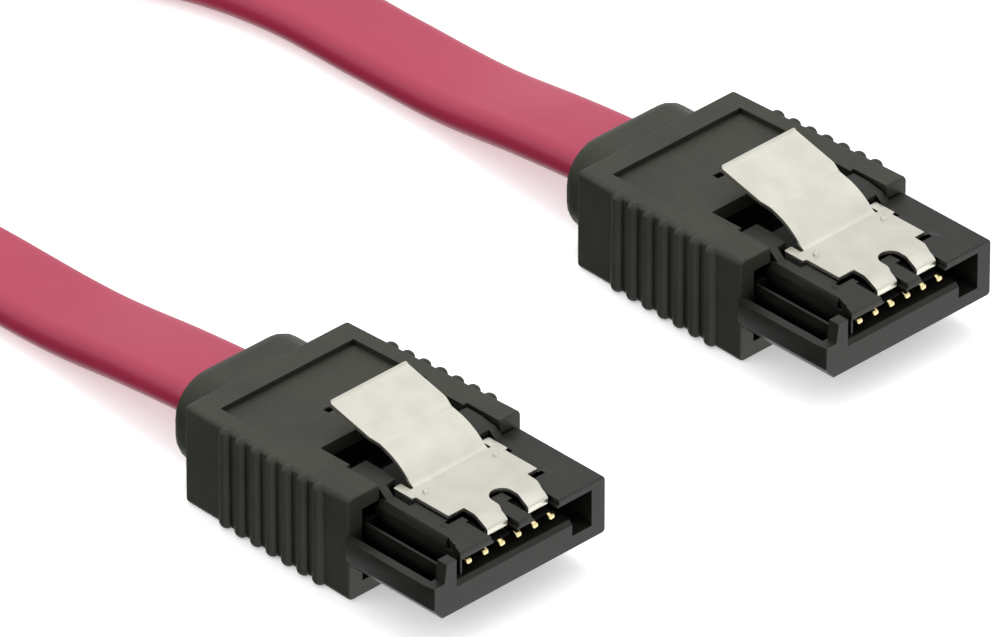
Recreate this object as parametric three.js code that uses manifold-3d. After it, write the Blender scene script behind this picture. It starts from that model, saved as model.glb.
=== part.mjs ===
// A flat SATA data cable: two straight plugs with steel latch clips, joined by 0.3 m of flat red cord.
// Millimetres, +Z up. The cable lies on z = 0 and both plugs point along +X.
// Each plug is built about its own point: x = 0 at the front face of the black overmould,
// y = 0 in its middle and z = 0 at its underside.
import * as THREE from 'three';
import { mergeVertices } from 'three/addons/utils/BufferGeometryUtils.js';
import Module from 'manifold-3d';

const wasm = await Module();
wasm.setup();

// Clearances
const seatGap = 0.3; // between pieces that are moulded or pushed together
const fineGap = 0.15; // beside the contact strips
const faceGap = 0.05; // between the nose and the overmould's front face
const through = 1; // how far a cutting shape runs past what it cuts

// The overmould, the soft black body of each plug
const bodyWidth = 13.3;
const bodyHeight = 6.75;
const bodyLength = 13.6;
const bodyRound = 0.35;
const bodyEndRound = 0.14;
const bodyTaper = 0.05; // how much narrower the body is at its rear, as a share
const bodySlope = 0.035; // how much lower it is there
const bodyWall = 1.0;
const ribCount = 7;
const ribPitch = 1.29;
const ribRadius = 0.46;
const ribProud = 0.4;
const ribFromFront = 2.45;
const panelDepth = 0.35;
const panelLength = 5.9;
const panelWidth = 10.7;
const panelFromRear = 1.65;

// The rounded boot behind the body, that the cord comes out of
const bootLength = 2.4;
const bootWidth = 9.8;
const bootOffset = -0.2;
const bootBottom = 0.45;
const bootTop = 6.3;
const bootCorner = 2.4;

// The housing, the hard nose that plugs in, and its base inside the overmould
const noseLength = 7.12;
const noseSide = 6.3; // from the middle to the closed side
const railSide = 7; // from the middle to the open side
const noseBottom = 2.14;
const noseTop = 5.88;
const noseRound = 0.25;
const baseLength = 2.5;
const baseWidth = 10.6;
const baseBottom = 1.3;
const baseTop = bodyHeight - bodyWall - seatGap;
const baseStep = 1; // the front of the base is this much thinner below
const baseStepX = -0.9;

// The L-shaped slot in the nose
const slotWidth = 10.4;
const slotDepth = 6.2;
const slotCeiling = 5.42;
const slotFloor = 4.05;
const keyWidth = 1.5;
const keyFloor = 3.05;
const lipChamfer = 0.25;

// The open side of the nose: a low rail, a channel, a ridge and a cut-back roof, closed by a jamb
const railThickness = 0.55;
const railTop = 4.4;
const railChamferWidth = 0.75; // along the rail's lower edge
const railChamferHeight = 0.9;
const leadLength = 0.7; // of the lead-in at the rail's front end
const leadDepth = 0.12;
const channelFloor = 2.75;
const ridgeTop = 4.86;
const ridgeThickness = 0.35;
const roofEdge = 0.95; // how far the roof's edge lies inside the slot's front corner
const roofChamfer = 0.46;
const roofSlant = 1.65;
const roofSlantReach = 0.65;
const slotWall = 0.15; // beside the first contact, under the roof's edge
const wallLength = 0.3; // of that wall, on past the jamb's rear face
const wallGap = 0.07; // between that wall and the first contact
const slantDepth = 0.1; // how far the roof's slanted corner is cut below the slot's ceiling
const recessFloor = 3.2;
const jambLength = 0.75;
const jambTop = 5.6;
const postWidth = 0.75; // of the jamb's raised part, beside the slot
const postSlope = 0.15;

// The latch clip, a bent strip of spring steel, set a little off the middle
const clipOffset = 0.35;
const clipThickness = 0.26;
const tabWidth = 5.9;
const neckWidth = 5.5;
const wingWidth = 7.36;
const footWidth = 1.5;
const footGap = 1.6;
const tabRear = -5.8;
const tabHeight = 8.6;
const jogX = -2.6;
const jogLength = 0.65;
const plateRear = 0.9;
const neckSpread = 0.12; // how much wider the neck is where it meets the plate
const wingRear = 0.1;
const reliefWidth = 0.22; // the slit between the neck and a wing
const wingStepX = 1.6;
const wingStep = 0.26;
const wingFront = 4.25;
const notchWidth = 0.85;
const forkRear = 4.05;
const footEnd = 6.5;
const footTip = 5.54;
const footOffset = -0.26; // of both feet, from the clip's middle
const footClearance = 0.28; // beside the feet and the wings
const clipRestGap = 0.34; // under the plate, above its recess
const plateRecess = 0.32;
const rearRecess = 0.44; // of the recess behind the slot, where the clip swings further down
const recessFront = 0.6; // of the recess, on past the wings
const footNotch = 0.75; // from a foot's tip back to the rear of the notch it stands in
const wingSlit = 0.4; // in front of each wing's outer corner
const barbSpread = 5.4;
const barbX = 1.68;
const barbRadius = 0.28;
const barbHeight = 0.2;
const barbTip = 0.08;

// The cheeks beside the clip's neck, and the window in the overmould round them
const cheekInner = 3.26;
const cheekOuter = 4.5;
const cheekTop = 6.55;
const cheekRear = -2.5;
const cheekRound = 0.9;
const cheekFront = 0.45;
const windowRear = -5.04;
const windowWidth = 8.7;
const slitRear = -8.2; // a slit across the body, under the clip's tab
const slitLength = 0.45;
const slitWidth = 2.3;
const slitDepth = 0.9;

// The contacts, seven gold-plated strips under the slot's ceiling
const contactCount = 7;
const contactPitch = 1.27;
const contactMiddle = -0.27;
const contactWidth = 0.4;
const contactThickness = 0.2;
const contactTip = 6.7;
const contactHeight = 5.1;
const contactBow = 0.3;
const contactRise = -0.6; // where the strip starts down to its tail
const contactDrop = 0.7;
const tailHeight = 3.2;
const tailLength = 5.9;

// The inner mould over the soldered wires
const rearWall = 3.4; // of the overmould, behind the inner mould
const innerLength = bodyLength - baseLength - 2 * seatGap - rearWall;
const innerWidth = 10.4;
const innerTop = bodyHeight - bodyWall - seatGap;
const innerStep = 2.6;
const innerStepTop = 4.6;
const wireRoomWidth = 9.5;
const wireRoomBottom = 2.6;
const wireRoomTop = 4.0;

// The flat cord, its four insulated cores and its three drain wires
const cordWidth = 6.2;
const cordThickness = 2.1;
const cordInside = 3.26;
const coreRadius = 0.45;
const drainRadius = 0.15;
const coreSpread = 1.06;
const pairGap = 0.3; // more room between the two pairs
const drainEdge = 0.35; // from the cord's edge in to an outer drain wire
const wireStraight = 0.8; // at both ends of each wire
const holeGap = 0.25; // round the cord where it enters the boot
const twistStart = 34;
const twistEnd = 70;

// The two plugs lie side by side
const plugSpacing = 32.7;
const plugSetback = 2.2;
const plugX = (bodyLength + bootLength + plugSetback - noseLength) / 2;

// The tie round both runs of the cord
const tieX = -81.8;
const tieWidth = 4;
const tieThickness = 0.7;
const tieTopGap = 0.05; // more room above and below the cord than beside it
const tieCorner = 1.1;
const tieTail = 8;
const tieTailRadius = 0.9;

// The cord's route, from inside the first plug's boot to inside the second's
const route = [
  [-7.2, -16.35, 3.26], [-11.8, -16.35, 3.24], [-16.57, -16.22, 2.73], [-24.05, -15.73, 1.49],
  [-31.62, -15.5, 1.18], [-39.22, -15.33, 1.18], [-46.61, -13.7, 1.39], [-53.47, -10.53, 2.13],
  [-60.06, -6.84, 2.88], [-66.89, -3.55, 3.35], [-74.22, -1.71, 3.83], [-81.8, -1.45, 4.2],
  [-91.22, -2.39, 3.7], [-99.45, -6.96, 3.3], [-106.17, -13.69, 3.24], [-114.13, -18.76, 3.23],
  [-123.5, -19.71, 3.23], [-132.26, -16.25, 3.23], [-138.45, -9.15, 3.23], [-140.68, 0, 3.23],
  [-138.45, 9.15, 3.23], [-132.26, 16.25, 3.23], [-123.5, 19.71, 3.23], [-114.13, 18.76, 3.23],
  [-106.17, 13.69, 3.24], [-99.45, 6.96, 3.3], [-91.22, 2.39, 3.7], [-81.8, 1.45, 4.2],
  [-74.37, 1.78, 3.84], [-67.31, 4.02, 3.35], [-60.91, 7.79, 2.82], [-54.75, 11.93, 2.05],
  [-48.22, 15.42, 1.35], [-40.99, 17.09, 1.18], [-33.54, 17.2, 1.18], [-26.1, 16.96, 1.51],
  [-18.77, 16.48, 2.73], [-14, 16.35, 3.24], [-9.4, 16.35, 3.26],
];

// Materials
function finish(color, roughness, metalness) {
  return new THREE.MeshStandardMaterial({ color, roughness, metalness });
}

const materials = {
  overmould: finish(0x34352f, 0.62, 0),
  housing: finish(0x3b3c38, 0.42, 0),
  innerMould: finish(0x1c1c1b, 0.7, 0),
  steel: finish(0xdddad0, 0.32, 1),
  gold: finish(0xe0c878, 0.25, 1),
  core: finish(0xe8e6df, 0.5, 0),
  drain: finish(0xc9c9c4, 0.3, 1),
  cord: finish(0xc83c5c, 0.45, 0),
  tie: finish(0x222222, 0.6, 0),
};

// Solids: closed meshes in and out of the boolean library
function solid(geometry) {
  geometry.deleteAttribute('normal');
  geometry.deleteAttribute('uv');
  const merged = mergeVertices(geometry);
  const vertProperties = new Float32Array(merged.attributes.position.array);
  const triVerts = new Uint32Array(merged.index.array);
  return new wasm.Manifold(new wasm.Mesh({ numProp: 3, vertProperties, triVerts }));
}

function joined(first, ...others) {
  return others.reduce((sum, other) => sum.add(other), first);
}

function cut(first, ...others) {
  return others.reduce((rest, other) => rest.subtract(other), first);
}

function named(name, shape, material) {
  const mesh = shape.getMesh();
  const geometry = new THREE.BufferGeometry();
  geometry.setAttribute('position', new THREE.BufferAttribute(mesh.vertProperties, 3));
  geometry.setIndex(new THREE.BufferAttribute(mesh.triVerts, 1));
  geometry.computeVertexNormals();
  const piece = new THREE.Mesh(geometry, material);
  piece.name = name;
  return piece;
}

// Basic forms, each given by where it starts and ends along x, y and z
function block(x0, x1, y0, y1, z0, z1) {
  const geometry = new THREE.BoxGeometry(x1 - x0, y1 - y0, z1 - z0);
  geometry.translate((x0 + x1) / 2, (y0 + y1) / 2, (z0 + z1) / 2);
  return solid(geometry);
}

function shapeOf(points) {
  return new THREE.Shape(points.map(([u, v]) => new THREE.Vector2(u, v)));
}

const turns = {
  x: new THREE.Matrix4().makeBasis(
    new THREE.Vector3(0, 1, 0), new THREE.Vector3(0, 0, 1), new THREE.Vector3(1, 0, 0)),
  y: new THREE.Matrix4().makeBasis(
    new THREE.Vector3(1, 0, 0), new THREE.Vector3(0, 0, 1), new THREE.Vector3(0, -1, 0)),
  z: new THREE.Matrix4(),
};

// An outline of the other two coordinates, drawn out along one axis from low to high
function prism(axis, shape, low, high, round = 0, curveSegments = 2) {
  const geometry = new THREE.ExtrudeGeometry(shape, {
    depth: high - low - 2 * round,
    bevelEnabled: round > 0,
    bevelThickness: round,
    bevelSize: round,
    bevelOffset: -round,
    bevelSegments: 2,
    curveSegments,
  });
  geometry.translate(0, 0, round + (axis === 'y' ? -high : low));
  geometry.applyMatrix4(turns[axis]);
  return solid(geometry);
}

function roundedRectangle(u0, u1, v0, v1, radius) {
  const shape = new THREE.Shape();
  shape.moveTo(u0 + radius, v0);
  shape.lineTo(u1 - radius, v0);
  shape.absarc(u1 - radius, v0 + radius, radius, -Math.PI / 2, 0);
  shape.lineTo(u1, v1 - radius);
  shape.absarc(u1 - radius, v1 - radius, radius, 0, Math.PI / 2);
  shape.lineTo(u0 + radius, v1);
  shape.absarc(u0 + radius, v1 - radius, radius, Math.PI / 2, Math.PI);
  shape.lineTo(u0, v0 + radius);
  shape.absarc(u0 + radius, v0 + radius, radius, Math.PI, Math.PI * 1.5);
  return shape;
}

// The outline of a strip of even thickness that follows a bent line
function stripShape(line, thickness) {
  const points = line.map(([u, v]) => new THREE.Vector2(u, v));
  const upper = [];
  const lower = [];
  points.forEach((point, i) => {
    const before = points[Math.max(i - 1, 0)];
    const after = points[Math.min(i + 1, points.length - 1)];
    const into = point.clone().sub(before);
    const out = after.clone().sub(point);
    const first = (into.length() ? into : out).clone().normalize();
    const second = (out.length() ? out : into).clone().normalize();
    const middle = first.clone().add(second).normalize();
    const half = thickness / 2 / Math.max(first.dot(middle), 0.5);
    const side = new THREE.Vector2(-middle.y, middle.x).multiplyScalar(half);
    upper.push(point.clone().add(side));
    lower.unshift(point.clone().sub(side));
  });
  return new THREE.Shape([...upper, ...lower]);
}

// A round wire along a smooth line
function wire(points, radius) {
  const path = new THREE.CatmullRomCurve3(points.map((p) => new THREE.Vector3(...p)));
  const section = shapeOf(Array.from({ length: 8 }, (_, i) => {
    const angle = (i / 8) * Math.PI * 2;
    return [radius * Math.cos(angle), radius * Math.sin(angle)];
  }));
  return solid(new THREE.ExtrudeGeometry(section, { steps: 6, extrudePath: path }));
}

// Where the contacts, and the wires that feed them, lie across the plug
const contactPlaces = Array.from({ length: contactCount }, (_, i) => (
  contactMiddle + (i - (contactCount - 1) / 2) * contactPitch));
const drainPlaces = contactPlaces.filter((_, i) => i % 3 === 0);
const corePlaces = contactPlaces.filter((_, i) => i % 3 !== 0);
const cordMiddle = route[0][2]; // the cord's height where it enters the boot

// The clip's side view, from the tab's rear end to the tips of its feet
const plateUnder = noseTop - plateRecess + clipRestGap;
const plateHeight = plateUnder + clipThickness / 2;
const neckLine = [
  [tabRear, tabHeight], [jogX, tabHeight - 0.8], [jogX + jogLength, tabHeight - 1.02],
  [plateRear - 1.8, plateHeight + 1.22], [plateRear - 1.05, plateHeight + 0.81],
  [plateRear - 0.5, plateHeight + 0.4], [plateRear - 0.1, plateHeight + 0.1],
  [plateRear + 0.2, plateHeight], [wingStepX, plateHeight],
];
const plateLine = [
  [wingRear, plateHeight], [footEnd - 0.9, plateHeight], [footEnd - 0.5, plateHeight - 0.05],
  [footEnd - 0.25, plateHeight - 0.15], [footEnd - clipThickness / 2, plateHeight - 0.33],
  [footEnd - clipThickness / 2, footTip],
];

// The clip's outlines from above, with places across it counted from its own middle line
function outline(points) {
  return shapeOf(points.map(([x, y]) => [x, y + clipOffset]));
}

function mirrored(half) {
  return [...half, ...half.map(([x, y]) => [x, -y]).reverse()];
}

function neckOutline() {
  return outline(mirrored([
    [tabRear - through, tabWidth / 2], [jogX, tabWidth / 2], [jogX + jogLength, neckWidth / 2],
    [plateRear, neckWidth / 2 + neckSpread], [wingStepX, neckWidth / 2 + neckSpread],
  ]));
}

// The wings and one foot on each side, joined by the round end of the fork
function plateOutline() {
  const neck = neckWidth / 2 + neckSpread;
  const inner = footGap / 2;
  const outer = inner + footWidth;
  const wing = [
    [plateRear, neck - neckSpread], [plateRear, neck + reliefWidth], [wingRear, neck + reliefWidth],
    [wingRear, wingWidth / 2], [wingStepX, wingWidth / 2],
    [wingStepX + 0.05, wingWidth / 2 - wingStep], [wingFront, wingWidth / 2 - wingStep],
    [wingFront, wingWidth / 2 - notchWidth],
  ];
  const foot = [
    [wingFront + 0.5, outer + 0.1], [wingFront + 1.1, outer], [footEnd + through, outer],
    [footEnd + through, inner],
  ];
  const fork = Array.from({ length: 9 }, (_, i) => {
    const angle = (i / 8) * Math.PI;
    return [forkRear + inner * (1 - Math.sin(angle)), footOffset + inner * Math.cos(angle)];
  });
  const left = foot.map(([x, y]) => [x, y + footOffset]);
  const right = foot.map(([x, y]) => [x, footOffset - y]).reverse();
  return outline([
    ...wing, ...left, ...fork, ...right, ...wing.map(([x, y]) => [x, -y]).reverse(),
  ]);
}

function latchClip() {
  const side = wingWidth / 2 + through;
  const [low, high] = [clipOffset - side, clipOffset + side];
  const neck = prism('y', stripShape(neckLine, clipThickness), low, high)
    .intersect(prism('z', neckOutline(), 0, 2 * tabHeight));
  const plate = prism('y', stripShape(plateLine, clipThickness), low, high)
    .intersect(prism('z', plateOutline(), 0, 2 * tabHeight));
  const barbs = [-1, 1].map((side) => {
    const cone = new THREE.CylinderGeometry(barbTip, barbRadius, barbHeight + clipThickness / 2, 10);
    cone.rotateX(Math.PI / 2);
    cone.translate(barbX, clipOffset + side * barbSpread / 2, plateHeight + barbHeight / 2);
    return solid(cone);
  });
  return joined(neck, plate, ...barbs);
}

// The overmould: a rounded block with grip ribs, a boot, a sunk panel and a window for the clip
function ribs() {
  const list = [];
  for (let i = 0; i < ribCount; i += 1) {
    for (const side of [-1, 1]) {
      const rib = new THREE.CapsuleGeometry(ribRadius, bodyHeight - 2 * ribRadius, 2, 8);
      rib.rotateX(Math.PI / 2);
      rib.translate(-ribFromFront - i * ribPitch, side * (bodyWidth / 2 + ribProud - ribRadius),
        bodyHeight / 2);
      list.push(solid(rib));
    }
  }
  return list;
}

// The body's outside gets a little narrower and lower towards its rear end
function tapered(shape) {
  return shape.warp((point) => {
    const back = Math.max(-point[0], 0) / bodyLength;
    point[1] *= 1 - bodyTaper * back;
    point[2] *= 1 - bodySlope * back;
  });
}

function windowShape() {
  const low = clipOffset - windowWidth / 2;
  const high = clipOffset + windowWidth / 2;
  const cheekLow = clipOffset - cheekOuter - fineGap;
  const cheekHigh = clipOffset + cheekOuter + fineGap;
  const rear = cheekRear - fineGap;
  return shapeOf([
    [windowRear, low], [rear, low], [rear, cheekLow], [through, cheekLow],
    [through, cheekHigh], [rear, cheekHigh], [rear, high], [windowRear, high],
  ]);
}

function cordSection(margin, arcSteps) {
  const radius = cordThickness / 2 + margin;
  const reach = (cordWidth - cordThickness) / 2;
  const points = [];
  for (const side of [1, -1]) {
    for (let i = 0; i <= arcSteps; i += 1) {
      const angle = Math.PI * (i / arcSteps - 0.5);
      points.push([side * (reach + radius * Math.cos(angle)), side * radius * Math.sin(angle)]);
    }
  }
  return points;
}

function overmould() {
  const half = bodyWidth / 2;
  const body = prism('x', roundedRectangle(-half, half, 0, bodyHeight, bodyRound),
    -bodyLength, 0, bodyEndRound);
  const bootShape = roundedRectangle(bootOffset - bootWidth / 2, bootOffset + bootWidth / 2,
    bootBottom, bootTop, bootCorner);
  const boot = prism('x', bootShape, -bodyLength - bootLength, -bodyLength + through, 0.5, 3);
  const panelRear = -bodyLength + panelFromRear;
  const panel = block(panelRear, panelRear + panelLength, -panelWidth / 2, panelWidth / 2,
    bodyHeight - panelDepth, bodyHeight + through);
  const cavityLength = baseLength + innerLength + 2 * seatGap;
  const room = block(-cavityLength, through, -baseWidth / 2 - seatGap, baseWidth / 2 + seatGap,
    baseBottom - seatGap, bodyHeight - bodyWall);
  const window = prism('z', windowShape(), innerStepTop, bodyHeight + through);
  const slit = block(slitRear, slitRear + slitLength, clipOffset - slitWidth / 2,
    clipOffset + slitWidth / 2, bodyHeight - panelDepth - slitDepth, bodyHeight + through);
  const holeShape = shapeOf(cordSection(holeGap, 4).map(([y, z]) => [y, z + cordMiddle]));
  const hole = prism('x', holeShape, -bodyLength - bootLength - through, -cavityLength + through);
  const outside = joined(tapered(joined(body, ...ribs())), boot);
  return cut(outside, tapered(panel), room, window, slit, hole);
}

// The housing: nose, base, cheeks and the open side
// The slot is wider at its mouth, in front of the wall beside the first contact
const slotWallInner = contactPlaces[0] - contactWidth / 2 - wallGap;
const slotWallOuter = slotWallInner - slotWall;

function slotCut() {
  const low = -slotWidth / 2;
  const high = slotWidth / 2;
  const rear = noseLength - slotDepth;
  const front = noseLength + through;
  const jambRear = noseLength - jambLength;
  const mouth = block(jambRear + wallLength, front, low, high, slotFloor, slotCeiling);
  const besideWall = block(jambRear, front, low, slotWallOuter, slotFloor, slotCeiling);
  const main = block(rear, front, slotWallInner, high, slotFloor, slotCeiling);
  const key = block(rear, front, high - keyWidth, high, keyFloor, slotCeiling);
  const lip = prism('y', shapeOf([
    [noseLength - lipChamfer, slotFloor], [front, slotFloor - lipChamfer - through],
    [front, slotFloor + lipChamfer]]), low, high - keyWidth);
  return joined(mouth, besideWall, main, key, lip);
}

function openSide() {
  const side = -railSide;
  const wall = -slotWidth / 2;
  const end = noseLength - jambLength;
  const front = noseLength + through;
  const roof = wall + roofEdge;
  const top = noseTop + through;
  const channel = block(0, end, side + railThickness, wall - ridgeThickness, channelFloor, top);
  const overRail = block(0, end, side - through, wall - ridgeThickness, railTop, top);
  const overRidge = block(-through, end, side - through, slotWallOuter, ridgeTop, top);
  const recess = block(0, end, wall - ridgeThickness / 2, slotWallOuter, recessFloor, top);
  const edge = prism('x', shapeOf([
    [slotWallOuter - through, noseTop - roofChamfer], [slotWallOuter, noseTop - roofChamfer],
    [roof, noseTop], [roof, top], [slotWallOuter - through, top],
  ]), -through, noseLength - roofSlant);
  const slant = prism('z', shapeOf([
    [noseLength - roofSlant, slotWallOuter - through], [noseLength - roofSlant, roof],
    [noseLength, roof - roofSlantReach], [front, roof - roofSlantReach], [front, wall],
    [end, wall], [end, slotWallOuter - through],
  ]), slotCeiling - slantDepth, top);
  const overJamb = block(end - slantDepth, front, side - through, wall, jambTop, top);
  const besidePost = prism('x', shapeOf([
    [side - through, top], [side - through, railTop], [wall - postWidth - postSlope, railTop],
    [wall - postWidth, jambTop], [wall - postWidth, top],
  ]), end - slantDepth, front);
  const lead = prism('z', shapeOf([
    [noseLength - leadLength, side], [noseLength - leadLength, side - through],
    [noseLength + leadLength, side - through], [noseLength + leadLength, side + 2 * leadDepth],
  ]), 0, top);
  return [channel, overRail, overRidge, recess, edge, slant, overJamb, besidePost, lead];
}

// The nose's outline from the front, with its rail side cut off at the lower corner
function noseShape() {
  const high = noseSide - noseRound;
  const shape = new THREE.Shape();
  shape.moveTo(railChamferWidth - railSide, noseBottom);
  shape.lineTo(high, noseBottom);
  shape.absarc(high, noseBottom + noseRound, noseRound, -Math.PI / 2, 0);
  shape.lineTo(noseSide, noseTop - noseRound);
  shape.absarc(high, noseTop - noseRound, noseRound, 0, Math.PI / 2);
  shape.lineTo(-railSide, noseTop);
  shape.lineTo(-railSide, noseBottom + railChamferHeight);
  return shape;
}

function clipRoom() {
  const half = wingWidth / 2 + footClearance;
  const top = noseTop + through;
  const floor = noseTop - plateRecess;
  const front = wingFront + recessFront;
  const slotRear = noseLength - slotDepth;
  const recess = block(faceGap - through, front, clipOffset - half, clipOffset + half, floor, top);
  const rear = block(faceGap - through, slotRear, clipOffset - half, clipOffset + half,
    noseTop - rearRecess, top);
  const gaps = [-1, 1].flatMap((side) => {
    const middle = clipOffset + footOffset + side * (footGap + footWidth) / 2;
    const reach = footWidth / 2 + fineGap;
    const underFoot = block(front - fineGap, noseLength + through, middle - reach - fineGap,
      middle + reach + fineGap, floor, top);
    const notch = block(footEnd - footNotch, noseLength + through, middle - reach, middle + reach,
      slotCeiling - through, top);
    const ends = [half, wingWidth / 2 - notchWidth].map((y) => clipOffset + side * y);
    const slit = block(front - wingSlit, front, Math.min(...ends), Math.max(...ends),
      slotCeiling - through, top);
    return [underFoot, notch, slit];
  });
  return [recess, rear, ...gaps];
}

function cheek(side) {
  const shape = new THREE.Shape();
  shape.moveTo(cheekRear, baseBottom + baseStep);
  shape.lineTo(cheekFront, baseBottom + baseStep);
  shape.lineTo(cheekFront, noseTop);
  shape.quadraticCurveTo(cheekFront - cheekRound / 3, cheekTop, cheekFront - 2 * cheekRound, cheekTop);
  shape.lineTo(cheekRear, cheekTop);
  const inner = clipOffset + side * cheekInner;
  const outer = clipOffset + side * cheekOuter;
  return prism('y', shape, Math.min(inner, outer), Math.max(inner, outer));
}

function housing() {
  const nose = prism('x', noseShape(), faceGap, noseLength, noseRound / 2);
  const base = block(-baseLength, through, -baseWidth / 2, baseWidth / 2, baseBottom + baseStep, baseTop);
  const baseRear = block(-baseLength, baseStepX, -baseWidth / 2, baseWidth / 2, baseBottom, baseTop);
  const body = cut(joined(nose, base), slotCut(), ...openSide(), ...clipRoom());
  const grooves = contactPlaces.map((y) => {
    const reach = contactWidth / 2 + fineGap;
    return block(-baseLength - through, noseLength - slotDepth + 0.1, y - reach, y + reach,
      tailHeight - contactThickness / 2 - fineGap, contactHeight + contactThickness / 2 + fineGap);
  });
  const wingReach = wingWidth / 2 + footClearance;
  const wingRoom = block(wingRear - footClearance, wingStepX, clipOffset - wingReach,
    clipOffset + wingReach, noseTop - rearRecess, cheekTop + through);
  return cut(joined(body, baseRear, cheek(-1), cheek(1)), wingRoom, ...grooves);
}

// The inner mould: a block over the joints of the wires and the contacts' tails
function innerMould() {
  const front = -baseLength - seatGap;
  const rear = front - innerLength;
  const half = innerWidth / 2;
  const rearPart = block(rear, front - innerStep, -half, half, baseBottom, innerTop);
  const frontPart = block(front - innerStep - 0.1, front, -half, half, baseBottom, innerStepTop - seatGap);
  const room = block(rear - through, front + through, -wireRoomWidth / 2, wireRoomWidth / 2,
    wireRoomBottom, wireRoomTop);
  return cut(joined(rearPart, frontPart), room);
}

function contact(y) {
  const line = [
    [contactTip, contactHeight - contactBow / 2], [contactTip - 0.7, contactHeight - contactBow],
    [contactTip - 1.8, contactHeight - contactBow], [contactTip - 3.4, contactHeight - 0.05],
    [contactTip - 4.4, contactHeight],
    [contactRise, contactHeight], [contactRise - contactDrop, tailHeight],
    [-tailLength, tailHeight],
  ].reverse();
  return prism('y', stripShape(line, contactThickness), y - contactWidth / 2, y + contactWidth / 2);
}

function innerWire(from, to, radius) {
  const rear = -bodyLength - bootLength + cordInside + seatGap;
  const front = -tailLength - seatGap;
  const bend = (rear + front) / 2;
  return wire([
    [rear, from, cordMiddle], [rear + wireStraight, from, cordMiddle],
    [bend, (from + to) / 2, cordMiddle], [front - wireStraight, to, cordMiddle],
    [front, to, cordMiddle],
  ], radius);
}

function plug(tag) {
  const group = new THREE.Group();
  group.add(named(`overmould_${tag}`, overmould(), materials.overmould));
  group.add(named(`housing_${tag}`, housing(), materials.housing));
  group.add(named(`inner_mould_${tag}`, innerMould(), materials.innerMould));
  group.add(named(`latch_clip_${tag}`, latchClip(), materials.steel));
  contactPlaces.forEach((y, i) => {
    group.add(named(`contact_${i + 1}_${tag}`, contact(y), materials.gold));
  });
  corePlaces.forEach((y, i) => {
    const from = (i - 1.5) * coreSpread + Math.sign(i - 1.5) * pairGap;
    group.add(named(`core_${i + 1}_${tag}`, innerWire(from, y, coreRadius), materials.core));
  });
  drainPlaces.forEach((y, i) => {
    const from = (i - 1) * (cordWidth / 2 - drainEdge);
    group.add(named(`drain_${i + 1}_${tag}`, innerWire(from, y, drainRadius), materials.drain));
  });
  return group;
}

// The flat cord: a straight bar of its section, bent and twisted onto its route.
// It leaves each plug lying flat and stands on edge round the loop.
function cord() {
  const path = new THREE.CatmullRomCurve3(route.map((p) => new THREE.Vector3(...p)));
  const length = path.getLength();
  const bar = new THREE.ExtrudeGeometry(shapeOf(cordSection(0, 4)), {
    depth: 1, steps: 72, bevelEnabled: false,
  });
  const position = bar.attributes.position;
  const up = new THREE.Vector3(0, 0, 1);
  for (let i = 0; i < position.count; i += 1) {
    const along = THREE.MathUtils.clamp(position.getZ(i), 0, 1);
    const point = path.getPointAt(along);
    const ahead = path.getTangentAt(along);
    const level = up.clone().cross(ahead).normalize();
    const rise = ahead.clone().cross(level);
    const fromEnd = Math.min(along, 1 - along) * length;
    const turn = THREE.MathUtils.smoothstep(fromEnd, twistStart, twistEnd) * Math.PI / 2;
    const wide = level.clone().multiplyScalar(Math.cos(turn)).addScaledVector(rise, Math.sin(turn));
    const thick = ahead.clone().cross(wide);
    point.addScaledVector(wide, position.getX(i)).addScaledVector(thick, position.getY(i));
    position.setXYZ(i, point.x, point.y, point.z);
  }
  return solid(bar);
}

// The tie: a coated wire wrapped round both runs, with its twisted end lying to one side
function tie() {
  const runs = Math.abs(route.find(([x]) => x === tieX)[1]);
  const middle = route.find(([x]) => x === tieX)[2];
  const insideY = runs + cordThickness / 2 + seatGap;
  const insideZ = cordWidth / 2 + seatGap + tieTopGap;
  const inside = roundedRectangle(-insideY, insideY, middle - insideZ, middle + insideZ, 0.5);
  const outY = insideY + tieThickness;
  const outZ = insideZ + tieThickness;
  const outside = roundedRectangle(-outY, outY, middle - outZ, middle + outZ, tieCorner);
  const low = tieX - tieWidth / 2;
  const band = cut(prism('x', outside, low, low + tieWidth),
    prism('x', inside, low - through, low + tieWidth + through));
  const tail = new THREE.CapsuleGeometry(tieTailRadius, tieTail, 3, 8);
  const tailStart = insideY + 0.1;
  tail.translate(tieX, tailStart + tieTail / 2 + tieTailRadius, middle + outZ - tieTailRadius);
  return joined(band, solid(tail));
}

const cable = new THREE.Group();
const plugA = plug('a');
plugA.position.set(plugX, -plugSpacing / 2, 0);
cable.add(plugA);
const plugB = plug('b');
plugB.position.set(plugX - plugSetback, plugSpacing / 2, 0);
cable.add(plugB);
cable.add(named('cord', cord(), materials.cord));
cable.add(named('tie', tie(), materials.tie));

export default cable;
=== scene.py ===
# A flat red SATA data cable with two black latching plugs, lying on a pale table.
# Metres, +Z up. The plugs point along +X and lie side by side; the cord runs back from them.
import math
import bmesh
import bpy
from mathutils import Matrix, Vector


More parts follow.
